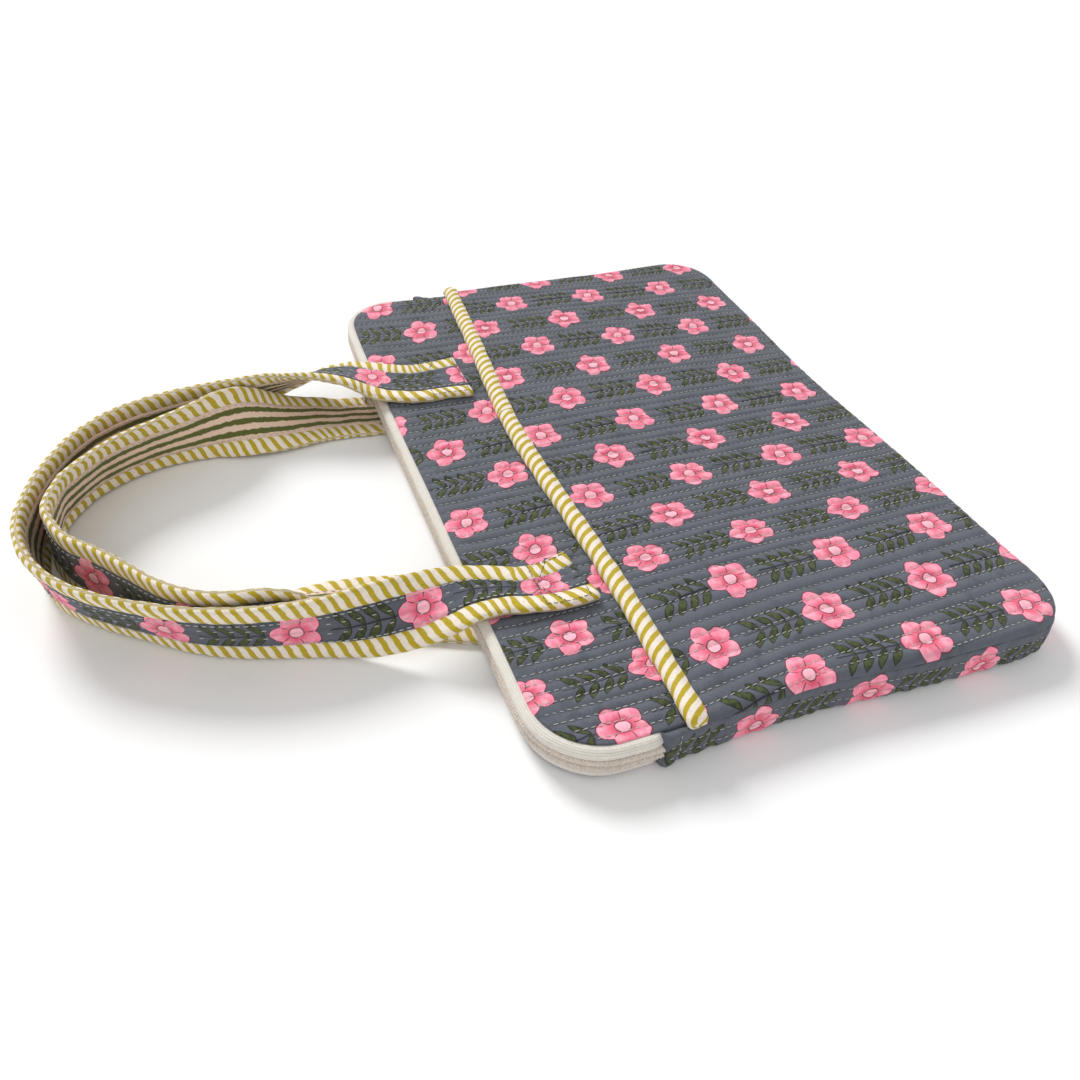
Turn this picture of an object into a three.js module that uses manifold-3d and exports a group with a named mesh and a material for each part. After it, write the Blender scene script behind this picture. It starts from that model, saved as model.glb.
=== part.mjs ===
// Quilted cotton knitting bag: a flat zipped sleeve with a slip pocket and two strap handles.
// Millimetres. The bag lies on its back: +X along its width, +Y towards the zip, +Z out of its front.
// The origin is the middle of the back panel's outer face.
import * as THREE from 'three';
import { mergeVertices } from 'three/addons/utils/BufferGeometryUtils.js';
import Module from 'manifold-3d';

const wasm = await Module();
wasm.setup();

// ---- driving dimensions ----
const BAG_WIDTH = 380;
const BAG_HEIGHT = 264;
const CORNER_R = 33;
const BODY_T = 20; // back face to front face at the zip strip
const GAP = 0.3; // between pieces that touch
const ARC_STEPS = 7; // straight runs in each rounded corner

// walls round the body
const WALL_T = 2.3; // gusset and zip tape, seen edge on
const LINING_T = 0.6;
const ZIP_END_Y = 84; // where the zip stops on each side
const TAPE_W = 7.6; // visible width of each half of the tape
const COIL_W = 1.95;
const COIL_PROUD = 0.5; // coil standing out of the tape
const COIL_T = 1.9;

// panels
const BACK_T = 4.5;
const FRONT_T = 3;
const DIP = 5; // how far the front panel drops behind the slip pocket
const DIP_FOOT_Y = 70;
const DIP_TOP_Y = 76;
const POCKET_T = 2.6;
const POCKET_EDGE_Y = 55.7; // top edge of the pocket's cloth, inside its binding
const ROLL_W = 10; // striped roll along the pocket's mouth
const ROLL_T = 5;
const ROLL_CHAMFER = 0.3; // share of the roll's thickness

// handles
const STRAP_W = 38;
const EDGE_W = 9.2; // striped binding along each edge
const EDGE_T = 3;
const EDGE_CHAMFER = 0.6; // share of half the binding's thickness
const CORE_W = STRAP_W - 2 * (EDGE_W + GAP);
const CORE_T = 1.4;
const STRAP_LINING_T = 0.6;
const HINGE_Y = 109; // cross stitch where the strap leaves the bag
const TAB_END_Y = 77; // lower end of the sewn strap
const TAB_CLEAR = EDGE_T / 2 + GAP; // from hinge line to the sewn tab
const RECESS_SIDE = 1.5; // room beside the back straps
const RECESS_Z = EDGE_T + 2 * GAP;
const STRAP_STEPS = 4; // sweep stations per route point
const CAP_ANGLES = [75, 45, 20]; // round end about the hinge line, in degrees

// zip slider
const SLIDER_X = 114; // parked beside the far leg of the front handle
const SLIDER_L = 12;
const SLIDER_W = 9;
const SLIDER_T = 2.2;
const SLIDER_LIP = 1.4;
const BAIL_W = 2;
const BAIL_H = 3.2;
const BAIL_L = 6;
const BAIL_HOLE = 1.8;
const EYE_SIDES = 16;
const PULL_L = 22;
const PULL_W = 5.5;
const PULL_T = 1;
const PULL_HOLE = 3.6;

const WALL_IN = WALL_T + GAP; // panels end this far inside the outline
const LINING_IN = WALL_IN + LINING_T + GAP;
const FRONT_Z = BODY_T - FRONT_T; // underside of the front panel at the zip strip
const POCKET_Z = BODY_T + GAP;
const ZIP_Z = BODY_T / 2;

// Each route row is [x, y, height of the strap's lowest edge, tilt in degrees].
// Tilt 0 lies flat print up, 90 stands on edge print outwards, 180 lies flat print down.
const STRIP_Z = BODY_T + GAP;
const REST = 0.2;
const FRONT_ROUTE = [
  [-99, HINGE_Y, STRIP_Z, 0], [-98, 122, STRIP_Z, 0], [-97, 135, STRIP_Z, 2], [-95, 147, 14, 22],
  [-92, 160, 7, 42], [-88.5, 175, 2, 58], [-85.5, 190, REST, 70], [-82, 207, REST, 78],
  [-78.5, 223, REST, 84], [-73.5, 239, REST, 88], [-66.5, 256, REST, 90], [-57.5, 272, REST, 90],
  [-46, 287.5, REST, 90], [-30, 301.5, REST, 90], [-9, 309.5, REST, 90], [16, 309, REST, 90],
  [43, 300.5, REST, 90], [65, 284.5, REST, 90], [79, 266, REST, 90], [88, 248, REST, 86],
  [94, 232, REST, 80], [99, 218, 1, 70], [103, 204, 3, 55], [106, 190, 7, 40], [106, 177, 12, 28],
  [102, 162, 18, 17], [95, 148, 20.7, 8], [87, 135, STRIP_Z, 1], [84, 122, STRIP_Z, 0],
  [83, HINGE_Y, STRIP_Z, 0],
];
const BACK_ROUTE = [
  [-97, HINGE_Y, 0, 180], [-97, 134, 0, 180], [-90, 148, 0, 180], [-81, 161, REST, 179],
  [-71.5, 175, REST, 176],
  [-64.5, 190, REST, 164], [-60.5, 204, REST, 142], [-60.5, 218, REST, 120], [-62.5, 231, REST, 104],
  [-61.5, 246, REST, 95], [-55.5, 260, REST, 90], [-46, 273, REST, 90], [-29, 288, REST, 90],
  [-10, 297, REST, 90], [8, 300, REST, 90], [26, 297.5, REST, 90], [43, 291, REST, 90],
  [57, 280, REST, 90], [66, 265, REST, 91], [71, 251, REST, 98], [74, 237, REST, 112],
  [76, 223, REST, 128], [77.5, 209, REST, 145], [83, 195, REST, 158], [86, 180, REST, 168],
  [88, 165, REST, 176], [87.5, 150, 0, 180], [86, 135, 0, 180], [86, HINGE_Y, 0, 180],
];

// colours
const PRINT = 0x5b636c;
const LINING = 0xd9b7a6;
const STRAP_LINING = 0x8d9160;
const BINDING = 0xd2c25a;
const TAPE = 0xe4e0d6;
const COIL = 0xd8d4c8;
const NICKEL = 0xb9b7b0;
const CLOTH_ROUGH = 0.9;
const COIL_ROUGH = 0.6;
const NICKEL_ROUGH = 0.35;
const NICKEL_METAL = 0.9;

// ---- helpers ----
const root = new THREE.Group();
root.name = 'knitting_bag';

function add(name, geometry, color, roughness, metalness = 0) {
  const material = new THREE.MeshStandardMaterial({ color, roughness, metalness });
  const mesh = new THREE.Mesh(geometry, material);
  mesh.name = name;
  root.add(mesh);
}

function toSolid(geometry) {
  const plain = geometry.index ? geometry.clone() : geometry;
  for (const key of Object.keys(plain.attributes)) if (key !== 'position') plain.deleteAttribute(key);
  const welded = mergeVertices(plain, 1e-4);
  const mesh = new wasm.Mesh({
    numProp: 3,
    vertProperties: new Float32Array(welded.attributes.position.array),
    triVerts: new Uint32Array(welded.index.array),
  });
  return new wasm.Manifold(mesh);
}

function toGeometry(solid) {
  const mesh = solid.getMesh();
  const geometry = new THREE.BufferGeometry();
  geometry.setAttribute('position', new THREE.BufferAttribute(new Float32Array(mesh.vertProperties), 3));
  geometry.setIndex(new THREE.BufferAttribute(new Uint32Array(mesh.triVerts), 1));
  return geometry;
}

function slab(points, z0, z1) {
  const shape = new THREE.Shape(points);
  const geometry = new THREE.ExtrudeGeometry(shape, { depth: z1 - z0, bevelEnabled: false });
  geometry.translate(0, 0, z0);
  return geometry;
}

// A profile drawn in (y, z), swept along X from x0 to x1.
function alongX(profile, x0, x1) {
  const shape = new THREE.Shape(profile.map(([y, z]) => new THREE.Vector2(y, z)));
  const geometry = new THREE.ExtrudeGeometry(shape, { depth: x1 - x0, bevelEnabled: false });
  const turn = new THREE.Matrix4().makeBasis(
    new THREE.Vector3(0, 1, 0), new THREE.Vector3(0, 0, 1), new THREE.Vector3(1, 0, 0));
  geometry.applyMatrix4(turn);
  geometry.translate(x0, 0, 0);
  return geometry;
}

function box(x0, x1, y0, y1, z0, z1) {
  const geometry = new THREE.BoxGeometry(x1 - x0, y1 - y0, z1 - z0);
  geometry.translate((x0 + x1) / 2, (y0 + y1) / 2, (z0 + z1) / 2);
  return geometry;
}

function corner(cx, cy, r, from) {
  const points = [];
  for (let i = 0; i <= ARC_STEPS; i++) {
    const a = from + (i / ARC_STEPS) * (Math.PI / 2);
    points.push(new THREE.Vector2(cx + r * Math.cos(a), cy + r * Math.sin(a)));
  }
  return points;
}

const CX = BAG_WIDTH / 2 - CORNER_R;
const CY = BAG_HEIGHT / 2 - CORNER_R;

function outline(inset) {
  const r = CORNER_R - inset;
  return [
    ...corner(CX, -CY, r, -Math.PI / 2), ...corner(CX, CY, r, 0),
    ...corner(-CX, CY, r, Math.PI / 2), ...corner(-CX, -CY, r, Math.PI),
  ];
}

// The two halves of the body's edge, each running anticlockwise seen from the front.
function topLine(inset, endY) {
  const x = BAG_WIDTH / 2 - inset;
  const r = CORNER_R - inset;
  return [new THREE.Vector2(x, endY), ...corner(CX, CY, r, 0), ...corner(-CX, CY, r, Math.PI / 2),
    new THREE.Vector2(-x, endY)];
}

function lowerLine(inset, endY) {
  const x = BAG_WIDTH / 2 - inset;
  const r = CORNER_R - inset;
  return [new THREE.Vector2(-x, endY), ...corner(-CX, -CY, r, Math.PI), ...corner(CX, -CY, r, -Math.PI / 2),
    new THREE.Vector2(x, endY)];
}

function wall(line, insetOut, insetIn, endY, z0, z1) {
  return slab([...line(insetOut, endY), ...line(insetIn, endY).reverse()], z0, z1);
}

// ---- body ----
function strapRecess(x) {
  const half = STRAP_W / 2 + RECESS_SIDE;
  return box(x - half, x + half, TAB_END_Y - RECESS_SIDE, BAG_HEIGHT, -RECESS_Z, RECESS_Z);
}

function withRecesses(geometry) {
  const near = BACK_ROUTE[0][0];
  const far = BACK_ROUTE[BACK_ROUTE.length - 1][0];
  const cut = toSolid(geometry).subtract(toSolid(strapRecess(near))).subtract(toSolid(strapRecess(far)));
  return toGeometry(cut);
}

// Front panel and its lining drop behind the pocket, which leaves the slip pocket its room.
function dippedPanel(top, thickness, inset) {
  const y0 = -BAG_HEIGHT;
  const y1 = BAG_HEIGHT;
  const low = top - DIP;
  const profile = [
    [y0, low - thickness], [DIP_FOOT_Y, low - thickness], [DIP_TOP_Y, top - thickness], [y1, top - thickness],
    [y1, top], [DIP_TOP_Y, top], [DIP_FOOT_Y, low], [y0, low],
  ];
  const sheet = toSolid(alongX(profile, -BAG_WIDTH / 2, BAG_WIDTH / 2));
  return toGeometry(sheet.intersect(toSolid(slab(outline(inset), 0, BODY_T + POCKET_T))));
}

function below(points, y) {
  const kept = points.filter((p) => p.y < y);
  const half = kept.reduce((most, p) => Math.max(most, p.x), 0);
  const start = kept.findIndex((p) => p.y < -CY + 1 && p.x > 0);
  const ordered = [...kept.slice(start), ...kept.slice(0, start)];
  const right = ordered.filter((p) => p.x > 0).concat(new THREE.Vector2(half, y));
  const left = [new THREE.Vector2(-half, y)].concat(ordered.filter((p) => p.x < 0));
  return [...right, ...left];
}

function addBody() {
  add('back_panel', withRecesses(slab(outline(WALL_IN), 0, BACK_T)), PRINT, CLOTH_ROUGH);
  add('back_lining', slab(outline(WALL_IN), BACK_T + GAP, BACK_T + GAP + LINING_T), LINING, CLOTH_ROUGH);
  add('front_panel', dippedPanel(BODY_T, FRONT_T, WALL_IN), PRINT, CLOTH_ROUGH);
  add('front_lining', dippedPanel(FRONT_Z - GAP, LINING_T, LINING_IN), LINING, CLOTH_ROUGH);
}

function addPocket() {
  const cloth = slab(below(outline(0), POCKET_EDGE_Y), POCKET_Z, POCKET_Z + POCKET_T);
  const lining = slab(below(outline(WALL_IN), POCKET_EDGE_Y), BODY_T - LINING_T, BODY_T);
  add('front_pocket', cloth, PRINT, CLOTH_ROUGH);
  add('pocket_lining', lining, LINING, CLOTH_ROUGH);
  const y0 = POCKET_EDGE_Y + GAP;
  const y1 = y0 + ROLL_W;
  const chamfer = ROLL_T * ROLL_CHAMFER;
  const z1 = POCKET_Z + ROLL_T;
  const roll = [
    [y0 + chamfer, POCKET_Z], [y1 - chamfer, POCKET_Z], [y1, POCKET_Z + chamfer], [y1, z1 - chamfer],
    [y1 - chamfer, z1], [y0 + chamfer, z1], [y0, z1 - chamfer], [y0, POCKET_Z + chamfer],
  ];
  add('pocket_binding', alongX(roll, -BAG_WIDTH / 2, BAG_WIDTH / 2), BINDING, CLOTH_ROUGH);
}

function addGusset() {
  const end = ZIP_END_Y - GAP;
  add('gusset', wall(lowerLine, 0, WALL_T, end, 0, BODY_T), PRINT, CLOTH_ROUGH);
  const floor = BACK_T + LINING_T + 2 * GAP;
  const roof = FRONT_Z - DIP - GAP;
  add('gusset_lining', wall(lowerLine, WALL_IN, WALL_IN + LINING_T, end, floor, roof), LINING, CLOTH_ROUGH);
}

// ---- zip ----
function addZip() {
  add('zip_tape_back', withRecesses(wall(topLine, 0, WALL_T, ZIP_END_Y, 0, TAPE_W)), TAPE, CLOTH_ROUGH);
  add('zip_tape_front', wall(topLine, 0, WALL_T, ZIP_END_Y, BODY_T - TAPE_W, BODY_T), TAPE, CLOTH_ROUGH);
  const inner = COIL_T - COIL_PROUD;
  const seam = GAP / 2;
  const coil = (z0) => wall(topLine, -COIL_PROUD, inner, ZIP_END_Y, z0, z0 + COIL_W);
  add('zip_coil_back', coil(ZIP_Z - seam - COIL_W), COIL, COIL_ROUGH);
  add('zip_coil_front', coil(ZIP_Z + seam), COIL, COIL_ROUGH);
}

const SLIDER_Y = BAG_HEIGHT / 2 + COIL_PROUD + GAP; // inner face of the slider's plate
const BAIL_Y = SLIDER_Y + SLIDER_T;
const PULL_AXIS_Y = BAIL_Y + BAIL_HOLE / 2 + GAP;

function addSlider() {
  const x0 = SLIDER_X - SLIDER_L / 2;
  const x1 = SLIDER_X + SLIDER_L / 2;
  const half = SLIDER_W / 2;
  const plate = toSolid(box(x0, x1, SLIDER_Y, SLIDER_Y + SLIDER_T, ZIP_Z - half, ZIP_Z + half));
  const lipIn = BAG_HEIGHT / 2 + GAP;
  const lip = (z0) => toSolid(box(x0, x1, lipIn, SLIDER_Y + SLIDER_T / 2, z0, z0 + SLIDER_LIP));
  const arch = toSolid(box(SLIDER_X - BAIL_L / 2, SLIDER_X + BAIL_L / 2, BAIL_Y - GAP, BAIL_Y + BAIL_H,
    ZIP_Z - BAIL_W / 2, ZIP_Z + BAIL_W / 2));
  const eye = new THREE.CylinderGeometry(BAIL_HOLE / 2, BAIL_HOLE / 2, SLIDER_W, EYE_SIDES);
  eye.rotateX(Math.PI / 2);
  eye.translate(SLIDER_X, PULL_AXIS_Y, ZIP_Z);
  const lips = lip(ZIP_Z - half).add(lip(ZIP_Z + half - SLIDER_LIP));
  const body = plate.add(lips).add(arch).subtract(toSolid(eye));
  add('zip_slider', toGeometry(body), NICKEL, NICKEL_ROUGH, NICKEL_METAL);
}

// The pull is a flat tab whose end bar passes through the slider's eye.
function addPull() {
  const barR = PULL_T / 2;
  const y0 = PULL_AXIS_Y - barR;
  const y1 = PULL_AXIS_Y + barR;
  const half = PULL_W / 2;
  const slot = BAIL_W / 2 + GAP;
  const plate = toSolid(box(SLIDER_X - PULL_L, SLIDER_X + barR, y0, y1, ZIP_Z - half, ZIP_Z + half));
  const mouth = toSolid(box(SLIDER_X - barR - PULL_HOLE, SLIDER_X + PULL_T, y0 - PULL_T, y1 + PULL_T,
    ZIP_Z - slot, ZIP_Z + slot));
  const bar = new THREE.CylinderGeometry(barR, barR, PULL_W, EYE_SIDES);
  bar.rotateX(Math.PI / 2);
  bar.translate(SLIDER_X, PULL_AXIS_Y, ZIP_Z);
  add('zip_pull', toGeometry(plate.subtract(mouth).add(toSolid(bar))), NICKEL, NICKEL_ROUGH, NICKEL_METAL);
}

// ---- handles ----
const UP = new THREE.Vector3(0, 0, 1);

function stations(route) {
  const rows = route.map(([x, y, lift, deg]) => {
    const tilt = THREE.MathUtils.degToRad(deg);
    const rise = (STRAP_W / 2) * Math.sin(tilt) + (EDGE_T / 2) * Math.abs(Math.cos(tilt));
    return { at: new THREE.Vector3(x, y, lift + rise), tilt };
  });
  const curve = new THREE.CatmullRomCurve3(rows.map((row) => row.at), false, 'centripetal');
  const steps = (rows.length - 1) * STRAP_STEPS;
  const list = [];
  for (let i = 0; i <= steps; i++) {
    const u = i / steps;
    const k = Math.min(Math.floor(u * (rows.length - 1)), rows.length - 2);
    const f = u * (rows.length - 1) - k;
    const tilt = THREE.MathUtils.lerp(rows[k].tilt, rows[k + 1].tilt, f);
    const along = curve.getTangent(u);
    if (i === 0 || i === steps) along.set(0, i === 0 ? 1 : -1, 0);
    const inward = new THREE.Vector3().crossVectors(along, UP).normalize();
    const rising = new THREE.Vector3().crossVectors(inward, along).normalize();
    const across = inward.clone().multiplyScalar(Math.cos(tilt)).addScaledVector(rising, Math.sin(tilt));
    const face = inward.clone().multiplyScalar(-Math.sin(tilt)).addScaledVector(rising, Math.cos(tilt));
    list.push({ at: curve.getPoint(u), along, across, face, swell: 1 });
  }
  return roundedEnds(list);
}

// Round each end about the hinge line, so the strap turns beside its sewn tab.
function roundedEnds(list) {
  const angles = CAP_ANGLES.map(THREE.MathUtils.degToRad);
  const cap = (end, sign) => angles.map((a) => ({
    ...end,
    at: end.at.clone().addScaledVector(end.along, sign * (EDGE_T / 2) * Math.sin(a)),
    swell: Math.cos(a),
  }));
  return [...cap(list[0], -1), ...list, ...cap(list[list.length - 1], 1).reverse()];
}

function sweep(list, section) {
  const count = section.length;
  const position = [];
  for (const s of list) {
    for (const [a, b] of section) {
      const p = s.at.clone().addScaledVector(s.across, a).addScaledVector(s.face, b * s.swell);
      position.push(p.x, p.y, p.z);
    }
  }
  const index = [];
  for (let i = 0; i < list.length - 1; i++) {
    for (let j = 0; j < count; j++) {
      const a = i * count + j;
      const b = i * count + ((j + 1) % count);
      index.push(a, b, b + count, a, b + count, a + count);
    }
  }
  const last = (list.length - 1) * count;
  for (let j = 1; j < count - 1; j++) {
    index.push(0, j + 1, j);
    index.push(last, last + j, last + j + 1);
  }
  const geometry = new THREE.BufferGeometry();
  geometry.setAttribute('position', new THREE.Float32BufferAttribute(position, 3));
  geometry.setIndex(index);
  return geometry;
}

function edgeSection(middle) {
  const w = EDGE_W / 2;
  const t = EDGE_T / 2;
  const c = t * EDGE_CHAMFER;
  return [[middle - w + c, -t], [middle - w, -t + c], [middle - w, t - c], [middle - w + c, t],
    [middle + w - c, t], [middle + w, t - c], [middle + w, -t + c], [middle + w - c, -t]];
}

function plainSection(w, b0, b1) {
  return [[-w / 2, b0], [-w / 2, b1], [w / 2, b1], [w / 2, b0]];
}

function addHandle(side, route) {
  const list = stations(route);
  const top = EDGE_T / 2;
  const linedTop = -top + STRAP_LINING_T;
  const edgeAt = (STRAP_W - EDGE_W) / 2;
  add(`${side}_handle_strap`, sweep(list, plainSection(CORE_W, top - CORE_T, top)), PRINT, CLOTH_ROUGH);
  add(`${side}_handle_lining`, sweep(list, plainSection(CORE_W, -top, linedTop)), STRAP_LINING, CLOTH_ROUGH);
  add(`${side}_handle_binding_inner`, sweep(list, edgeSection(edgeAt)), BINDING, CLOTH_ROUGH);
  add(`${side}_handle_binding_outer`, sweep(list, edgeSection(-edgeAt)), BINDING, CLOTH_ROUGH);
}

function addTab(name, x, z0) {
  const half = STRAP_W / 2;
  const z1 = z0 + EDGE_T;
  add(name, box(x - half, x + half, TAB_END_Y, HINGE_Y - TAB_CLEAR, z0, z1), PRINT, CLOTH_ROUGH);
}

addBody();
addPocket();
addGusset();
addZip();
addSlider();
addPull();
addHandle('front', FRONT_ROUTE);
addHandle('back', BACK_ROUTE);
addTab('front_handle_tab_near', FRONT_ROUTE[0][0], STRIP_Z);
addTab('front_handle_tab_far', FRONT_ROUTE[FRONT_ROUTE.length - 1][0], STRIP_Z);
addTab('back_handle_tab_near', BACK_ROUTE[0][0], 0);
addTab('back_handle_tab_far', BACK_ROUTE[BACK_ROUTE.length - 1][0], 0);

export default root;
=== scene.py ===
"""Looks of the quilted knitting bag: cloth, print, stitching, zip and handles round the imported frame.

Lengths are in millimetres until a mesh is made. The bag lies on its back, zip towards +Y.
"""
import math

import bmesh
import bpy
import numpy as np
from mathutils import Matrix, Vector


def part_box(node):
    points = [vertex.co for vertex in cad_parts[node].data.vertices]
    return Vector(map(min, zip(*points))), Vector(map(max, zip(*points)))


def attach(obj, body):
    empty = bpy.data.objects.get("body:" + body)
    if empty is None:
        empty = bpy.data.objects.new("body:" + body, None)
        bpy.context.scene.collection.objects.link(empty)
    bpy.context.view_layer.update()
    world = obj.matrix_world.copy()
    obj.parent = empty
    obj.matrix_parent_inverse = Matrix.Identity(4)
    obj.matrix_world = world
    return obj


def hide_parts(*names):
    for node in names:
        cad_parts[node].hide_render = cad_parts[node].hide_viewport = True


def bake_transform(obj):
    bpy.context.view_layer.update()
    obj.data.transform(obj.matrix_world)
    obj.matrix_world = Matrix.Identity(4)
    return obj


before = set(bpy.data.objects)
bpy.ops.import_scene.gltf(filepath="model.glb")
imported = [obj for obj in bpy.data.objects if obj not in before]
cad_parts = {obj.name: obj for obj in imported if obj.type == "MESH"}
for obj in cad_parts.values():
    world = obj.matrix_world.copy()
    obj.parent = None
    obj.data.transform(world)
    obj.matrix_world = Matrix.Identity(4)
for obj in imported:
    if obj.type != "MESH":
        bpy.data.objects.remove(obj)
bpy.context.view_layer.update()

MM = 0.001


def cad_box(node):
    low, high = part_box(node)
    return np.array(low) / MM, np.array(high) / MM


# ---- driving sizes, from the frame ----
GUSSET_LOW, GUSSET_HIGH = cad_box("gusset")
HALF_W = GUSSET_HIGH[0]
HALF_H = -GUSSET_LOW[1]
BODY_T = GUSSET_HIGH[2]
ZIP_END_Y = GUSSET_HIGH[1]
CORNER_R = 33.0
ROLL_LOW, ROLL_HIGH = cad_box("pocket_binding")
ROLL_Y = (ROLL_LOW[1] + ROLL_HIGH[1]) / 2
ROLL_W = ROLL_HIGH[1] - ROLL_LOW[1]
TAB_LOW, TAB_HIGH = cad_box("front_handle_tab_near")
TAB_END_Y = TAB_LOW[1]
STRAP_W = TAB_HIGH[0] - TAB_LOW[0]
HINGE_Y = 109.0
STRAP_END_Y = TAB_END_Y + 3.4

# zip
COIL_OUT = -1.15  # middle of each coil from the bag's edge, deep enough to run inside the slider
COIL_R = 1.6
COIL_APART = 1.75  # each coil's middle from the seam between them

# cloth
QUILT_PITCH = 6.3
QUILT_PUFF = 1.3
STITCH_PITCH = 3.3
STITCH_L = 2.1
STITCH_W = 0.37
ROW_PITCH = 28.9  # flower rows, along u
FLOWER_PITCH = 56.5  # flowers in a row, along v
EDGE_W = 9.4  # striped binding along a strap
EDGE_CUT = 12.0  # v of the gusset's print at its near end


# ---- mesh helpers ----
def slump(points):
    """The filled bag lies a little out of true: its outline wanders and its corners are drawn out."""
    points = np.array(points, float).reshape(-1, 3)
    x, y = points[:, 0].copy(), points[:, 1].copy()
    across, down = x / HALF_W, y / HALF_H
    near, far = np.clip(-across, 0, 1), np.clip(across, 0, 1)
    low, high = np.clip(-down, 0, 1), np.clip(down, 0, 1)
    points[:, 0] += (0.8 * np.sin(y / 21 + 0.6) * across ** 2 - 8.5 * near ** 2 * low
                     + 6.0 * far ** 2 * high ** 3)
    points[:, 0] += 2.5 * far ** 2 * low ** 2
    points[:, 1] += 0.9 * np.sin(x / 27 + 0.9) * low ** 2 + 3.4 * low ** 2 * (1 - across ** 2)
    points[:, 1] -= 1.5 * near * low + 4.5 * far ** 6 * high + 7.0 * far ** 3 * low
    return points


def make_object(name, points, faces, material, cloth=None, smooth=True, slumped=False):
    if slumped:
        points = slump(points)
    mesh = bpy.data.meshes.new(name)
    mesh.from_pydata((np.asarray(points).reshape(-1, 3) * MM).tolist(), [], [list(f) for f in faces])
    if cloth is not None:
        layer = mesh.attributes.new("cloth", "FLOAT_VECTOR", "POINT")
        layer.data.foreach_set("vector", np.asarray(cloth, dtype=float).reshape(-1))
    work = bmesh.new()
    work.from_mesh(mesh)
    bmesh.ops.recalc_face_normals(work, faces=work.faces)
    work.to_mesh(mesh)
    work.free()
    mesh.polygons.foreach_set("use_smooth", [smooth] * len(mesh.polygons))
    mesh.materials.append(material)
    piece = bpy.data.objects.new(name, mesh)
    bpy.context.scene.collection.objects.link(piece)
    return piece


def grid_faces(rows, cols, wrap=False):
    i, j = np.meshgrid(np.arange(rows - 1), np.arange(cols if wrap else cols - 1), indexing="ij")
    a = i * cols + j
    b = i * cols + (j + 1) % cols
    return np.stack([a, b, b + cols, a + cols], -1).reshape(-1, 4)


def slab(name, shown, behind, cloth, material, slumped=True):
    """A closed sheet: a fine grid on the side that shows, its rim taken back to one plain face."""
    rows, cols = shown.shape[:2]
    index = np.arange(rows * cols).reshape(rows, cols)
    rim = np.concatenate([index[0, :-1], index[:-1, -1], index[-1, :0:-1], index[:0:-1, 0]])
    back = np.arange(len(rim)) + rows * cols
    sides = np.stack([back, np.roll(back, -1), np.roll(rim, -1), rim], -1)
    faces = [*grid_faces(rows, cols).tolist(), *sides.tolist(), back[::-1].tolist()]
    points = np.concatenate([shown.reshape(-1, 3), behind.reshape(-1, 3)[rim]])
    flat = cloth.reshape(-1, 3)
    return make_object(name, points, faces, material, np.concatenate([flat, flat[rim]]), slumped=slumped)


def tube(name, rings, cloth, material, slumped=False):
    """A closed sweep: rings is stations by points by 3."""
    rows, cols = rings.shape[:2]
    faces = grid_faces(rows, cols, wrap=True).tolist()
    faces.append(list(range(cols)))
    faces.append(list(range((rows - 1) * cols, rows * cols))[::-1])
    return make_object(name, rings, faces, material, cloth, slumped=slumped)


def unit(v):
    return v / np.linalg.norm(v, axis=-1, keepdims=True)


def stitches(name, middle, along, normal, material, length=STITCH_L, width=STITCH_W, slumped=True):
    """Short threads lying on the cloth: one small round-ended bar at each middle point."""
    sides = 5
    angle = np.arange(sides) * 2 * math.pi / sides
    across = unit(np.cross(normal, along))
    rings = []
    for step, fat in ((-0.5, 0.35), (-0.36, 0.95), (0.36, 0.95), (0.5, 0.35)):
        centre = middle + along * (step * length) + normal * (width * 0.18 * (fat - 0.5))
        ring = [centre + across * (math.cos(a) * fat * width / 2)
                + normal * (math.sin(a) * fat * width * 0.42) for a in angle]
        rings.append(np.stack(ring, 1))
    points = np.stack(rings, 1)
    count = len(middle)
    one = grid_faces(4, sides, wrap=True).tolist()
    caps = [list(range(sides)), list(range(3 * sides, 4 * sides))[::-1]]
    faces = []
    for k in range(count):
        base = k * 4 * sides
        faces += [[base + v for v in f] for f in one + caps]
    return make_object(name, points, faces, material, slumped=slumped)


# ---- the bag's outline ----
def half_width(y, inset):
    r = CORNER_R - inset
    over = np.clip(np.abs(y) - (HALF_H - CORNER_R), 0, r)
    return HALF_W - CORNER_R + np.sqrt(np.maximum(r * r - over * over, 0))


def edge_distance(x, y):
    qx = np.abs(x) - (HALF_W - CORNER_R)
    qy = np.abs(y) - (HALF_H - CORNER_R)
    outside = np.hypot(np.maximum(qx, 0), np.maximum(qy, 0))
    return CORNER_R - outside - np.minimum(np.maximum(qx, qy), 0)


def panel_grid(y0, y1, inset, step, step_x):
    """x and y of a grid that fills the rounded outline between two heights."""
    straight = HALF_H - CORNER_R
    r = CORNER_R - inset
    turn = np.sin(np.radians(np.linspace(90, 0, 22)))
    middle = np.arange(-straight, straight, step)
    rows = np.concatenate([-straight - r * turn, middle, straight + r * turn[::-1]])
    rows = np.unique(np.round(rows[(rows > y0) & (rows < y1)], 3))
    if y1 < HALF_H - inset:
        rows = np.append(rows, y1)
    across = np.linspace(-1, 1, int(2 * HALF_W / step_x) + 1)
    x = half_width(rows, inset)[:, None] * across[None, :]
    return x, np.repeat(rows[:, None], len(across), 1)


def hump(x, middle, width):
    return np.exp(-((x - middle) / width) ** 2)


# u, v of the cloth at a place on the bag. The cloth was cut and quilted a little askew.
def pocket_cut(x, y):
    """Drawn together at the near side, pushed up in the middle, fanned out towards the far side."""
    u = x + 100 + 6.4 * hump(x, 0, 78) - 5.2 * hump(x, -115, 28) - 0.0004 * x * (y - 48)
    v = (y - 44.7 - 0.011 * x - 13.5 * hump(x, 18, 95)) * (1 + 0.00036 * (x + 5))
    return u, v


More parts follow.
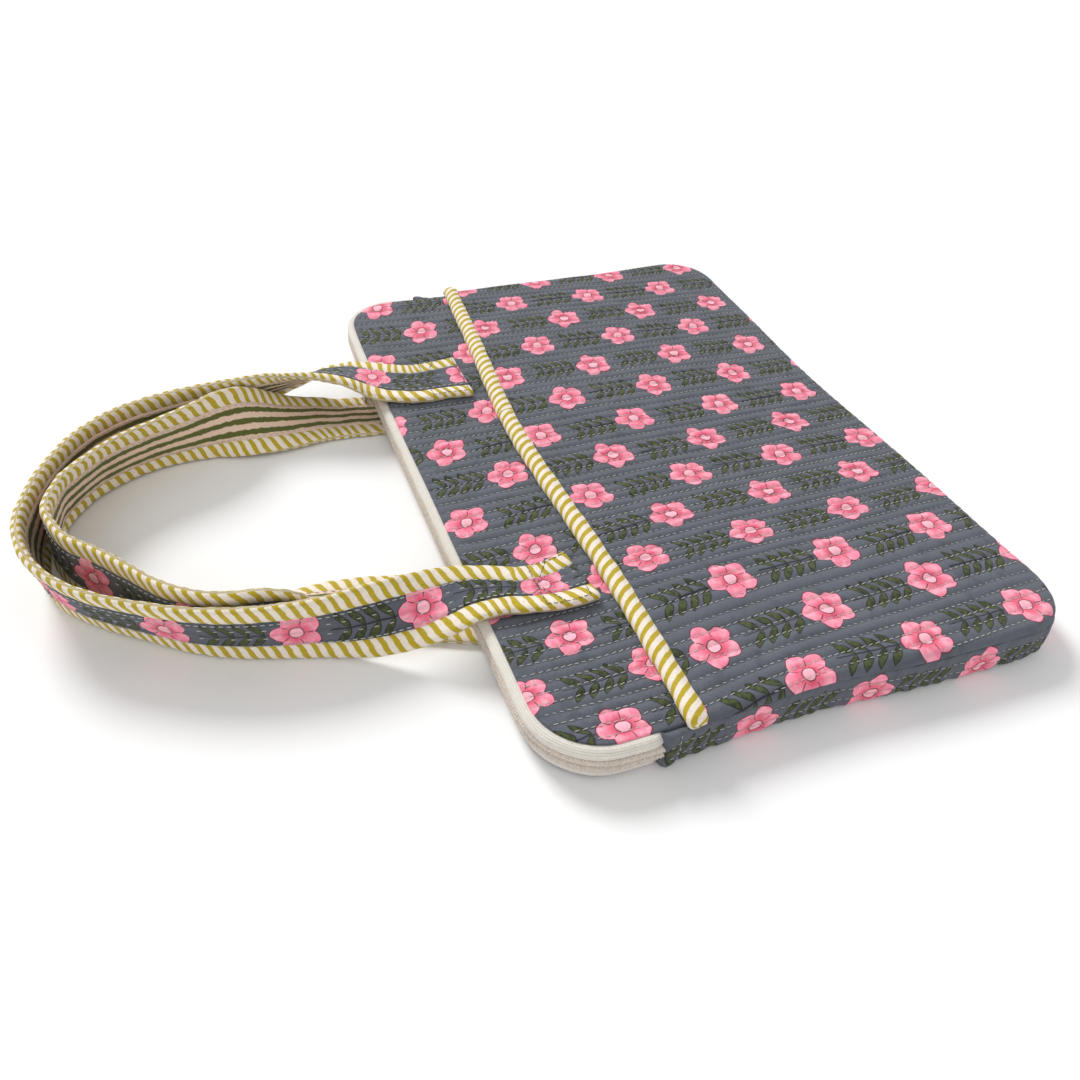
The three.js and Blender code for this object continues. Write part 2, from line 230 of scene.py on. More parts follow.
def strip_cut(x, y):
    u = (x + 15) * (1 - 0.0006 * np.clip(x, 0, 200)) - 10 * hump(x, -190, 45)
    return u, y - 85 + 0.135 * (x + 11) + 0.00018 * (x + 11) ** 2 + 7 * hump(x, -190, 28)


def back_cut(x, y):
    return x - 7 - 0.02 * (y + 4), y + 4 + 0.01 * (x - 7)


def place_of(u, v, cut):
    """x, y where a point of the cloth lies, closing in on it step by step."""
    x, y = u - 100.0, v + 50.0
    for _ in range(16):
        here_u, here_v = cut(x, y)
        x = np.clip(x + u - here_u, -400, 400)
        y = np.clip(y + v - here_v, -400, 400)
    return x, y


def quilting(u, v):
    """Height of the padded cloth between its rows of stitches, with small puckers beside each row."""
    swell = (np.sin(np.pi * u / QUILT_PITCH) ** 2 + 0.004) ** 0.3
    near_row = np.exp(-(((u + QUILT_PITCH / 2) % QUILT_PITCH - QUILT_PITCH / 2) / 1.9) ** 2)
    drift = 1.4 * np.sin(u * 0.31) + 0.9 * np.sin(u * 0.113 + 2)
    pucker = 0.26 * np.sin(2 * np.pi * (v + drift) / STITCH_PITCH) * near_row
    uneven = 0.2 * np.sin(v / 6.3 + np.floor(u / QUILT_PITCH) * 2.1) * swell
    return QUILT_PUFF * swell + pucker + uneven


def waves(x, y):
    """Slow unevenness of soft cloth lying flat."""
    long = 0.55 * np.sin(x / 58 + 0.8 * np.sin(y / 47)) + 0.5 * np.sin(y / 37 + 1.3 + 0.7 * np.sin(x / 61))
    short = 0.22 * np.sin(x / 17 + y / 29) + 0.18 * np.sin(y / 13 - x / 41 + 0.5)
    return long + short


def cushion_top(x, y, cut, level, drop, roll, crown):
    """Outer height of a quilted panel that rolls down to its seam."""
    u, v = cut(x, y)
    edge = np.clip(edge_distance(x, y) / roll, 0, 1)
    fade = 0.2 + 0.8 * np.clip(edge_distance(x, y) / (2 * roll), 0, 1)
    rise = crown * np.clip(edge_distance(x, y) / 60, 0, 1) ** 0.7
    puff = (quilting(u, v) - QUILT_PUFF) * fade
    return level - drop * (1 - edge) ** 2 + rise + waves(x, y) * fade * 0.8 + puff


def thread_bed(x, y, cut, look):
    """Height at which a stitch rests across the valley of its row."""
    beside = 0.5
    return (cushion_top(x - beside, y, cut, **look) + cushion_top(x + beside, y, cut, **look)) / 2


# ---- node helper: sums written as sums ----
class Val:
    """A number worked out by a material at each point."""

    def __init__(self, tree, out):
        self.tree = tree
        self.out = out

    def math(self, kind, *others, clamp=False):
        node = self.tree.nodes.new("ShaderNodeMath")
        node.operation = kind
        node.use_clamp = clamp
        for socket, value in zip(node.inputs, (self, *others)):
            if isinstance(value, Val):
                self.tree.links.new(value.out, socket)
            else:
                socket.default_value = value
        return Val(self.tree, node.outputs[0])

    def __add__(self, o):
        return self.math("ADD", o)

    def __radd__(self, o):
        return self.math("ADD", o)

    def __sub__(self, o):
        return self.math("SUBTRACT", o)

    def __rsub__(self, o):
        return self.math("MULTIPLY_ADD", -1.0, o)

    def __mul__(self, o):
        return self.math("MULTIPLY", o)

    def __rmul__(self, o):
        return self.math("MULTIPLY", o)

    def __truediv__(self, o):
        return self.math("DIVIDE", o)

    def __neg__(self):
        return self.math("MULTIPLY", -1.0)

    def abs(self):
        return self.math("ABSOLUTE")

    def sin(self):
        return self.math("SINE")

    def cos(self):
        return self.math("COSINE")

    def sqrt(self):
        return self.math("SQRT")

    def floor(self):
        return self.math("FLOOR")

    def max(self, o):
        return self.math("MAXIMUM", o)

    def min(self, o):
        return self.math("MINIMUM", o)

    def step(self, low, high):
        """0 below low, 1 above high, smooth between; high below low turns it round."""
        node = self.tree.nodes.new("ShaderNodeMapRange")
        node.interpolation_type = "SMOOTHSTEP"
        self.tree.links.new(self.out, node.inputs["Value"])
        node.inputs["From Min"].default_value = min(low, high)
        node.inputs["From Max"].default_value = max(low, high)
        node.inputs["To Min"].default_value = 0.0 if high >= low else 1.0
        node.inputs["To Max"].default_value = 1.0 if high >= low else 0.0
        return Val(self.tree, node.outputs["Result"])

    def inside(self, width=0.25):
        """1 where this distance is below nought."""
        return self.step(width, -width)

    def line(self, thick, width=0.22):
        """1 where this distance is within thick of nought."""
        return (self.abs() - thick).step(width, -width)


class Paint:
    """One cloth material: its node tree, the cloth coordinates and the usual layers."""

    def __init__(self, name, roughness, sheen=0.08):
        self.material = bpy.data.materials.new(name)
        self.material.use_nodes = True
        self.tree = self.material.node_tree
        self.shader = self.tree.nodes["Principled BSDF"]
        self.shader.inputs["Roughness"].default_value = roughness
        self.shader.inputs["Sheen Weight"].default_value = sheen
        self.shader.inputs["Sheen Roughness"].default_value = 0.6
        self.shader.inputs["Specular IOR Level"].default_value = 0.25
        place = self.tree.nodes.new("ShaderNodeAttribute")
        place.attribute_name = "cloth"
        split = self.tree.nodes.new("ShaderNodeSeparateXYZ")
        self.tree.links.new(place.outputs["Vector"], split.inputs[0])
        self.place = place.outputs["Vector"]
        self.u, self.v, self.w = (Val(self.tree, split.outputs[k]) for k in range(3))

    def noise(self, scale, detail=2.0, stretch=(1, 1, 1), shift=0.0):
        mapping = self.tree.nodes.new("ShaderNodeMapping")
        mapping.inputs["Scale"].default_value = [scale * s for s in stretch]
        mapping.inputs["Location"].default_value = (shift, shift * 0.7, shift * 0.3)
        self.tree.links.new(self.place, mapping.inputs["Vector"])
        node = self.tree.nodes.new("ShaderNodeTexNoise")
        node.inputs["Scale"].default_value = 1.0
        node.inputs["Detail"].default_value = detail
        self.tree.links.new(mapping.outputs[0], node.inputs["Vector"])
        return Val(self.tree, node.outputs[0])

    def chance(self, a, b):
        """A steady random number for a pair of whole numbers."""
        join = self.tree.nodes.new("ShaderNodeCombineXYZ")
        self.tree.links.new(a.out, join.inputs[0])
        self.tree.links.new(b.out, join.inputs[1])
        node = self.tree.nodes.new("ShaderNodeTexWhiteNoise")
        self.tree.links.new(join.outputs[0], node.inputs["Vector"])
        return Val(self.tree, node.outputs["Value"])

    def mix(self, base, colour, amount):
        node = self.tree.nodes.new("ShaderNodeMix")
        node.data_type = "RGBA"
        self.tree.links.new(amount.out, node.inputs[0])
        for socket, value in ((node.inputs[6], base), (node.inputs[7], colour)):
            if isinstance(value, tuple):
                socket.default_value = (*value, 1.0)
            else:
                self.tree.links.new(value, socket)
        return node.outputs[2]

    def shade(self, colour, amount):
        """colour times amount."""
        node = self.tree.nodes.new("ShaderNodeMix")
        node.data_type = "RGBA"
        node.blend_type = "MULTIPLY"
        node.inputs[0].default_value = 1.0
        self.tree.links.new(colour, node.inputs[6])
        self.tree.links.new(amount.out, node.inputs[7])
        return node.outputs[2]

    def finish(self, colour, height, depth):
        self.tree.links.new(colour, self.shader.inputs["Base Color"])
        bump = self.tree.nodes.new("ShaderNodeBump")
        bump.inputs["Strength"].default_value = 1.0
        bump.inputs["Distance"].default_value = depth * MM
        self.tree.links.new(height.out, bump.inputs["Height"])
        self.tree.links.new(bump.outputs[0], self.shader.inputs["Normal"])
        return self.material

    def weave(self, threads):
        """Plain weave: over and under threads, as height from 0 to 1."""
        a = (self.u * threads).sin()
        b = (self.v * threads).sin()
        return (a * b) * 0.5 + 0.5


# ---- colours, as linear light ----
def srgb(r, g, b):
    def line(c):
        c /= 255
        return c / 12.92 if c <= 0.04045 else ((c + 0.055) / 1.055) ** 2.4
    return line(r), line(g), line(b)


GROUND = srgb(92, 96, 105)
GROUND_DARK = srgb(74, 78, 87)
PINK = srgb(252, 140, 166)
PINK_PALE = srgb(255, 184, 198)
CRIMSON = srgb(218, 54, 92)
INK = srgb(24, 20, 30)
LEAF = srgb(76, 84, 46)
LEAF_DARK = srgb(50, 58, 38)
CREAM = srgb(242, 231, 216)
MUSTARD = srgb(188, 164, 34)
TAPE = srgb(236, 230, 220)
THREAD = srgb(194, 192, 184)
THREAD_DARK = srgb(84, 90, 96)
LINING_CREAM = srgb(238, 208, 186)
LINING_GREEN = srgb(94, 101, 46)


# ---- printed cotton ----
def printed_cotton(name):
    """Half-drop rows of plain five-petal rosettes with simple leaf sprigs between them, on slate ground."""
    p = Paint(name, 0.82)
    wander_u = (p.noise(0.16, 2, shift=3.0) - 0.5) * 1.5
    wander_v = (p.noise(0.16, 2, shift=9.0) - 0.5) * 1.5
    u0 = p.u + wander_u
    v0 = p.v + wander_v
    row = (u0 / ROW_PITCH + 0.5).floor()
    odd = row - (row * 0.5).floor() * 2.0
    u = u0 - row * ROW_PITCH
    shifted = v0 - odd * (FLOWER_PITCH / 2) + 13.0
    number = (shifted / FLOWER_PITCH).floor()
    v = shifted - number * FLOWER_PITCH - 13.0
    luck = p.chance(row, number) - 0.5
    tilt_u = u - v * luck * 0.16
    v = v + u * luck * 0.16
    u = tilt_u
    side = u.abs()

    # flower: a plain open rosette of five equal petals round a button
    reach = (u * u + v * v).sqrt()
    angle = u.math("ARCTAN2", v)
    petals = (angle * 2.5).cos().abs()
    bloom = reach - petals * 3.4 - 8.2
    fill = (bloom - 0.2).inside(0.25)
    rim = bloom.line(0.3)
    parting = (petals * reach).line(0.5, 0.4) * reach.step(4.2, 4.8) * bloom.step(-0.6, -1.2)
    button = reach - 3.1

    # sprig between two flowers: opposite pairs of plain oval leaves on a straight stem
    slot_v = v - side * 0.7 - 13.5
    leaf_no = (slot_v / 6.6 + 0.5).floor()
    t = slot_v - leaf_no * 6.6
    share = (side / 8.6).min(1.0)
    leaf = t.abs() - share * (1.0 - share) * 8.4
    in_sprig = leaf_no.math("GREATER_THAN", -0.5) * leaf_no.math("LESS_THAN", 3.5)
    leaf_fill = leaf.inside(0.2) * in_sprig
    leaf_rim = leaf.line(0.24, 0.18) * in_sprig * (side - 8.6).step(0.2, -0.2)
    stem = side.line(0.42) * v.step(11.0, 13.0) * v.step(43.0, 41.0)

    mottle = p.noise(0.05, 3, shift=1.0) * 0.24 + p.noise(0.9, 2, shift=2.0) * 0.16 + 0.8
    ground = p.mix(GROUND, GROUND_DARK, p.noise(0.11, 2, shift=7.0).step(0.52, 0.72) * 0.55)
    ground = p.shade(ground, mottle)
    green = p.mix(LEAF, LEAF_DARK, p.noise(0.5, 2, shift=6.0).step(0.4, 0.65))
    colour = p.mix(ground, green, leaf_fill)
    colour = p.mix(colour, INK, leaf_rim.max(stem * 0.9) * 0.9)
    pink = p.mix(PINK, PINK_PALE, p.noise(0.3, 2, shift=4.0).step(0.4, 0.65) * 0.7)
    pink = p.mix(pink, CRIMSON, reach.step(8.0, 3.4) * 0.7)
    pink = p.mix(pink, PINK_PALE, button.inside())
    colour = p.mix(colour, pink, fill)
    colour = p.mix(colour, INK, rim.max(parting).max(button.line(0.24)) * 0.9)
    puckers = p.noise(0.5, 2, stretch=(0.5, 1.7, 1), shift=12.0)
    cloth = p.weave(9.0) * 0.16 + p.noise(2.2, 3, shift=8.0) * 0.45 + puckers * 1.9
    # painted shade: the print is darkened to 0.83 in the valleys beside each row of stitches, and the
    # weave's height paints light on the threads' tops and shade between them
    valley = ((p.u / QUILT_PITCH + 0.5).floor() * QUILT_PITCH - p.u).abs()
    colour = p.shade(colour, (p.weave(9.0) * 0.08 + 0.95) * (valley.step(0.0, 1.5) * 0.17 + 0.83))
    return p.finish(colour, cloth, 0.34)


def striped_binding(name, pitch=8.3, slant=0.65):
    """Bias strip with diagonal mustard stripes on cream."""
    p = Paint(name, 0.85)
    wobble = (p.noise(0.5, 2, shift=2.0) - 0.5) * 0.9
    phase = (p.v + p.u * slant + wobble) / pitch
    stripe = ((phase - phase.floor()) - 0.5).line(0.235, 0.035)
    patchy = p.noise(1.3, 3, shift=5.0) * 0.35 + 0.78
    yellow = p.mix(MUSTARD, srgb(204, 184, 70), p.noise(1.7, 3, shift=1.0).step(0.5, 0.75))
    colour = p.mix(CREAM, yellow, stripe)
    colour = p.shade(colour, patchy.min(1.0))
    cloth = p.weave(10.0) * 0.3 + p.noise(1.6, 3, shift=8.0) * 0.6 + p.noise(0.4, 2, shift=3.0) * 0.8
    return p.finish(colour, cloth, 0.3)


def striped_lining(name):
    """Lengthwise green stripes with wavering edges on pinkish cream."""
    p = Paint(name, 0.88)
    wobble = (p.noise(0.35, 3, shift=2.0) - 0.5) * 2.0
    phase = (p.u + wobble) / 6.2 + 0.5
    stripe = ((phase - phase.floor()) - 0.5).line(0.24, 0.05)
    colour = p.mix(LINING_CREAM, LINING_GREEN, stripe)
    colour = p.shade(colour, p.noise(1.4, 3, shift=5.0) * 0.35 + 0.8)
    cloth = p.weave(9.0) * 0.4 + p.noise(0.9, 3, shift=8.0)
    return p.finish(colour, cloth, 0.35)


def plain_cloth(name, colour, rough=0.88):
    p = Paint(name, rough)
    tone = p.mix(colour, tuple(c * 0.82 for c in colour), p.noise(0.7, 3).step(0.4, 0.7))
    return p.finish(tone, p.weave(9.0) * 0.5 + p.noise(1.0, 3) * 0.5, 0.3)


def zip_tape_cloth(name):
    """Cream twill tape: short slanting ribs that change side every few threads."""
    p = Paint(name, 0.8)
    band = (p.u / 1.1).floor()
    way = (band - (band * 0.5).floor() * 2.0) * 2.0 - 1.0
    rib = ((p.v * 6.4 + p.u * way * 5.2).sin() * 0.5 + 0.5)
    groove = ((p.u / 1.1 - band) - 0.5).abs().step(0.5, 0.36)
    height = rib * 0.7 * groove + groove * 0.3
    # painted shade: the tape is darkened to 0.8 where its rib height is low, down in the grooves between
    # ribs
    tone = p.mix(tuple(c * 0.8 for c in TAPE), TAPE, height.step(0.1, 0.7))
    tone = p.shade(tone, p.noise(0.25, 3) * 0.16 + 0.9)
    return p.finish(tone, height, 0.2)


def thread(name, colour):
    p = Paint(name, 0.7)
    tone = p.mix(colour, tuple(c * 0.8 for c in colour), p.noise(0.9, 2).step(0.4, 0.7))
    return p.finish(tone, p.noise(5.0, 2), 0.1)


def nickel(name):
    material = bpy.data.materials.new(name)
    material.use_nodes = True
    shader = material.node_tree.nodes["Principled BSDF"]
    shader.inputs["Base Color"].default_value = (0.56, 0.55, 0.52, 1)
    shader.inputs["Metallic"].default_value = 1.0
    noise = material.node_tree.nodes.new("ShaderNodeTexNoise")
    noise.inputs["Scale"].default_value = 900.0
    ramp = material.node_tree.nodes.new("ShaderNodeMapRange")
    ramp.inputs["To Min"].default_value = 0.22
    ramp.inputs["To Max"].default_value = 0.4
    material.node_tree.links.new(noise.outputs[0], ramp.inputs[0])
    material.node_tree.links.new(ramp.outputs[0], shader.inputs["Roughness"])
    return material


PRINT = printed_cotton("printed_cotton")
BINDING = striped_binding("striped_binding", pitch=5.5, slant=-0.45)
ROLL_CLOTH = striped_binding("roll_binding", pitch=5.9, slant=0.75)
STRAP_LINING = striped_lining("strap_lining")
TAPE_CLOTH = zip_tape_cloth("zip_tape_cloth")
COIL = thread("coil_cord", srgb(214, 202, 190))
LINING = plain_cloth("lining_cotton", LINING_CREAM)
PALE_THREAD = thread("pale_thread", THREAD)
DARK_THREAD = thread("dark_thread", THREAD_DARK)
NICKEL = nickel("nickel")


# ---- panels ----
def with_third(u, v):
    return np.stack([u, v, np.zeros_like(u)], -1)


def quilted_panel(name, cut, y0, y1, inset, step, thickness, level, drop, roll, crown, upside=1):
    x, y = panel_grid(y0, y1, inset, step, 0.75)
    z = cushion_top(x, y, cut, level, drop, roll, crown)
    top = np.stack([x, y, z], -1)
    bottom = np.stack([x, y, z - thickness], -1)
    u, v = cut(x, y)
    return slab(name, top, bottom, with_third(u, v), PRINT)


def quilt_stitches(name, cut, surface, y0, y1, inset, turned=False):
    """Running stitches down every row of quilting that lies inside the outline."""
    middles, ways, ups = [], [], []
    count = int(HALF_W * 1.8 / QUILT_PITCH)
    for k in range(-count, count):
        u = k * QUILT_PITCH
        v = np.arange(-1.8 * HALF_H, 1.8 * HALF_H, STITCH_PITCH) + 1.9 * math.sin(k * 2.3)
        v = v + 0.35 * np.sin(v * 1.7 + k)
        x, y = place_of(np.full_like(v, u), v, cut)
        x2, y2 = place_of(np.full_like(v, u), v + 1.0, cut)
        keep = (edge_distance(x, y) > inset + STITCH_L / 2) & (y > y0(x)) & (y < y1(x))
        x, y, x2, y2 = x[keep], y[keep], x2[keep], y2[keep]
        here = np.stack([x, y, surface(x, y)], -1)
        there = np.stack([x2, y2, surface(x2, y2)], -1)
        middles.append(here)
        ways.append(unit(there - here))
        ups.append(np.tile([0, 0, -1.0 if turned else 1.0], (len(x), 1)))
    middle, way, up = (np.concatenate(part) for part in (middles, ways, ups))
    middle = middle + up * 0.22
    return stitches(name, middle, way, up, PALE_THREAD)


STRIP_LOOK = dict(level=BODY_T + 0.2, drop=2.6, roll=7.0, crown=0.6)
POCKET_LOOK = dict(level=BODY_T + 2.0, drop=4.0, roll=5.0, crown=1.2)
PANEL_INSET = 4.0
BACK_INSET = 2.6
POCKET_INSET = 0.8


def roll_line(x):
    """y of the middle of the pocket's mouth: it slopes a little across the bag."""
    return ROLL_Y + 1.4 - 0.028 * x + 0.8 * np.sin(x / 52) + 2.6 * hump(x, 25, 70) + 5.2 * hump(x, -5, 100)


def add_front():
    front = quilted_panel("front_panel_cloth", strip_cut, ROLL_Y - 45, HALF_H, PANEL_INSET, 1.5, 3.0,
                          **STRIP_LOOK)
    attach(front, "bag")
    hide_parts("front_panel")

    def surface(x, y):
        return thread_bed(x, y, strip_cut, STRIP_LOOK)

    rows = quilt_stitches("front_panel_stitches", strip_cut, surface, lambda x: roll_line(x) - 3,
                          lambda x: HALF_H, PANEL_INSET + 1)
    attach(rows, "bag")


def pocket_points():
    x, y = panel_grid(-HALF_H, ROLL_Y, POCKET_INSET, 1.5, 0.75)
    # the top edge follows the sloping mouth
    share = np.clip((y + HALF_H - CORNER_R) / (ROLL_Y + HALF_H - CORNER_R), 0, 1)
    y = y + share * (roll_line(x) - ROLL_Y)
    return x, y


def add_pocket():
    x, y = pocket_points()
    z = cushion_top(x, y, pocket_cut, **POCKET_LOOK)
    u, v = pocket_cut(x, y)
    under = np.maximum(z - 2.2, BODY_T - 1.5)
    pocket = slab("pocket_cloth", np.stack([x, y, z], -1), np.stack([x, y, under], -1),
                  with_third(u, v), PRINT)
    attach(pocket, "bag")
    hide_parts("front_pocket")

    def surface(x, y):
        return thread_bed(x, y, pocket_cut, POCKET_LOOK)

    rows = quilt_stitches("pocket_stitches", pocket_cut, surface, lambda x: -HALF_H,
                          lambda x: roll_line(x) - 5, POCKET_INSET + 1)
    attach(rows, "bag")


def over_strap(x, y, fade):
    """1 over the sewn ends of the back handle, fading to 0 beside them."""
    over = 0.0
    for leg in (BACK_ROUTE[:6], BACK_ROUTE[-4:][::-1]):
        middle = np.interp(y, [row[1] for row in leg], [row[0] for row in leg])
        beside = np.clip((np.abs(x - middle) - STRAP_W / 2 - 2.5) / fade, 0, 1)
        below = np.clip((STRAP_END_Y - 1.0 - y) / fade, 0, 1)
        over = np.maximum(over, (1 - np.maximum(beside, below)) ** 2)
    return over


def add_back():
    x, y = panel_grid(-HALF_H, HALF_H, BACK_INSET, 2.2, 0.8)
    u, v = back_cut(x, y)
    edge = np.clip(edge_distance(x, y) / 7.0, 0, 1)
    z = 0.15 + (QUILT_PUFF - quilting(u, v)) * 0.8 + 2.4 * (1 - edge) ** 2
    z = np.minimum(z + 4.4 * over_strap(x, y, 5.0), 4.4)
    back = slab("back_panel_cloth", np.stack([x, y, z], -1), np.stack([x, y, np.full_like(z, 5.2)], -1),
                with_third(u, v), PRINT)
    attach(back, "bag")
    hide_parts("back_panel")


# ---- edge of the body: gusset and zip ----
def edge_path(upper, end_y, step):
    """Points, outward directions and distance along the top or the lower half of the outline."""
    flip = 1 if upper else -1
    straight = abs(HALF_H - CORNER_R - flip * end_y)
    cx, cy = HALF_W - CORNER_R, (HALF_H - CORNER_R) * flip
    side = np.arange(0, straight, step)
    arc = np.linspace(0, math.pi / 2, int(CORNER_R * math.pi / 2 / step))
    half = np.linspace(0, cx, int(cx / step))[1:]
    right = [np.stack([np.full_like(side, HALF_W), end_y + flip * side], -1),
             np.stack([cx + CORNER_R * np.cos(arc), cy + flip * CORNER_R * np.sin(arc)], -1),
             np.stack([cx - half, np.full_like(half, flip * HALF_H)], -1)]
    out = [np.tile([1.0, 0.0], (len(side), 1)), np.stack([np.cos(arc), flip * np.sin(arc)], -1),
           np.tile([0.0, 1.0 * flip], (len(half), 1))]
    points, normal = np.concatenate(right), np.concatenate(out)
    mirror = np.array([-1.0, 1.0])
    points = np.concatenate([points, points[-2::-1] * mirror])
    normal = np.concatenate([normal, normal[-2::-1] * mirror])
    if not upper:
        points, normal = points[::-1], normal[::-1]
    distance = np.concatenate([[0], np.cumsum(np.linalg.norm(np.diff(points, axis=0), axis=1))])
    return points, normal, distance


def sweep_edge(name, path, out, z, cloth_u, material):
    """Sweep a section round the outline. out and z are stations by points."""
    points, normal, distance = path
    xy = points[:, None, :] + normal[:, None, :] * out[:, :, None]
    rings = np.concatenate([xy, z[:, :, None]], -1)
    along = np.repeat(distance[:, None], out.shape[1], 1) + EDGE_CUT
    cloth = np.stack([np.broadcast_to(cloth_u, out.shape), along, np.zeros_like(out)], -1)
    return tube(name, rings, cloth, material, slumped=True), rings


def add_gusset():
    path = edge_path(False, ZIP_END_Y, 1.3)
    points, normal, s = path
    total = s[-1]
    top_z, low_z = BODY_T - 1.6, 0.9
    t = np.linspace(0, 1, 26)
    outer_z = low_z + (top_z - low_z) * t
    rows_at = (0.3, 0.68)
    pinch = sum(np.exp(-((t - r) / 0.055) ** 2) for r in rows_at)
    bulge = 1.5 * np.sin(np.pi * t) ** 0.5 - 0.6 * pinch
    end = np.minimum(s, total - s)
    gather = (0.5 * np.sin(s / 1.45 + 1.2 * np.sin(s / 11)) + 0.45 * np.sin(s / 2.6 + 2 * np.sin(s / 23))
              + 0.25 * np.sin(s / 0.83))
    shape = 0.35 + 0.65 * np.abs(np.cos(np.pi * (t - 0.02)))
    swell = 1.7 * np.exp(-((end - 4) / 5) ** 2)
    closing = np.clip(end / 2.0, 0, 1) ** 0.5
    slit = 0.7 * np.exp(-((end - 7.5) / 0.9) ** 2)
    out = (-1.0 + bulge[None, :] + gather[:, None] * shape[None, :] * 0.55 + (swell - slit)[:, None])
    out = -2.4 + (out + 2.4) * closing[:, None]
    wave = 0.5 * np.sin(s / 31) + 0.3 * np.sin(s / 12.7 + 1)
    z = outer_z[None, :] + wave[:, None] * (t - 0.2)[None, :]
    inner_out = np.full((len(s), 4), -4.2)
    inner_z = np.linspace(top_z - 0.4, low_z + 0.4, 4)[None, :] + np.zeros((len(s), 1))
    z = z + (1.7 * np.exp(-(end / 8.0) ** 2))[:, None] * t[None, :]
    cloth_u = np.concatenate([outer_z - 7.0, np.linspace(top_z, low_z, 4) - 7.0])[None, :]
    piece, rings = sweep_edge("gusset_cloth", path, np.concatenate([out, inner_out], 1),
                              np.concatenate([z, inner_z], 1), cloth_u, PRINT)
    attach(piece, "bag")
    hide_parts("gusset")

    middles, ways, ups = [], [], []
    for r in rows_at:
        column = int(round(r * (len(t) - 1)))
        line = rings[:, column]
        places = np.arange(4.0, total - 4.0, STITCH_PITCH)
        here = np.stack([np.interp(places, s, line[:, k]) for k in range(3)], -1)
        ahead = np.stack([np.interp(places + 1.0, s, line[:, k]) for k in range(3)], -1)
        face = np.stack([np.interp(places, s, normal[:, k]) for k in range(2)] + [np.zeros_like(places)], -1)
        middles.append(here + unit(face) * 0.2)
        ways.append(unit(ahead - here))
        ups.append(unit(face))
    for place in (7.5, total - 7.5):
        for level in np.arange(3.0, top_z - 1, 3.4):
            index = int(np.argmin(np.abs(s - place)))
            column = int(np.argmin(np.abs(outer_z - level)))
            middles.append(rings[index, column][None] + np.append(normal[index], 0)[None] * 0.25)
            ways.append(np.array([[0.0, 0.0, 1.0]]))
            ups.append(np.append(normal[index], 0)[None])
    middle, way, up = (np.concatenate(part) for part in (middles, ways, ups))
    rows = stitches("gusset_stitches", middle, way, up, PALE_THREAD)
    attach(rows, "bag")


def add_zip():
    path = edge_path(True, ZIP_END_Y - 4.0, 1.6)
    middle = BODY_T / 2
    # section of the front tape, from its rolled edge by the panel down to the chain
    # and drawn in there, so that the slider's lips pass over it
    section = np.array([(-5.6, 17.6), (-4.4, 18.7), (-2.6, 19.0), (-1.4, 18.5), (-0.3, 17.5), (0.3, 16.4),
                        (-0.1, 15.2), (-0.3, 14.1), (-0.7, 13.4), (-1.2, 13.4), (-1.6, 14.2), (-1.8, 15.6),
                        (-2.3, 16.6), (-3.4, 17.0)])
    s = path[2]
    tuck = np.exp(-(np.minimum(s, s[-1] - s) / 4.5) ** 2)
    for side, flip in (("front", 1), ("back", -1)):
        name, node = f"zip_tape_{side}_cloth", f"zip_tape_{side}"
        soft = 0.22 * np.sin(s / 9 + flip) + 0.16 * np.sin(s / 3.7)
        sway = np.linspace(0.2, 1, len(section))[None, :]
        out = section[None, :, 0] + soft[:, None] * sway - tuck[:, None] * 2.6
        z = section[None, :, 1] + 0.25 * np.sin(s / 17)[:, None] - tuck[:, None] * 1.6
        if flip < 0:
            z = 2 * middle - section[None, :, 1] + 0.2 + np.zeros((len(s), 1))
            out = out - 1.1
            # lifted over the back straps, on the straight top edge only
            lift = over_strap(path[0][:, 0], np.full(len(s), HALF_H), 8.0)[:, None]
            lift = lift * (path[0][:, 1:2] > HALF_H - 2)
            z = z + 3.2 * lift * (z.max() - z) / np.ptp(z)
        run = np.concatenate([[0], np.cumsum(np.linalg.norm(np.diff(section, axis=0), axis=1))])
        piece, _ = sweep_edge(name, path, out, z, run[None, :], TAPE_CLOTH)
        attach(piece, "bag")
        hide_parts(node)
    fine = edge_path(True, ZIP_END_Y - 4.0, 0.3)
    s = fine[2]
    for side, flip in (("front", 1), ("back", -1)):
        name, node = f"zip_coil_{side}_cord", f"zip_coil_{side}"
        angle = np.linspace(0, 2 * math.pi, 12, endpoint=False)
        twist = 0.2 * np.sin(2 * math.pi * s[:, None] / 1.5 - flip * 2 * angle[None, :])
        radius = COIL_R + twist
        out = COIL_OUT + radius * np.cos(angle)[None, :]
        z = middle + flip * COIL_APART + radius * np.sin(angle)[None, :]
        piece, _ = sweep_edge(name, fine, out, z, angle[None, :], COIL)
        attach(piece, "bag")
        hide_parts(node)


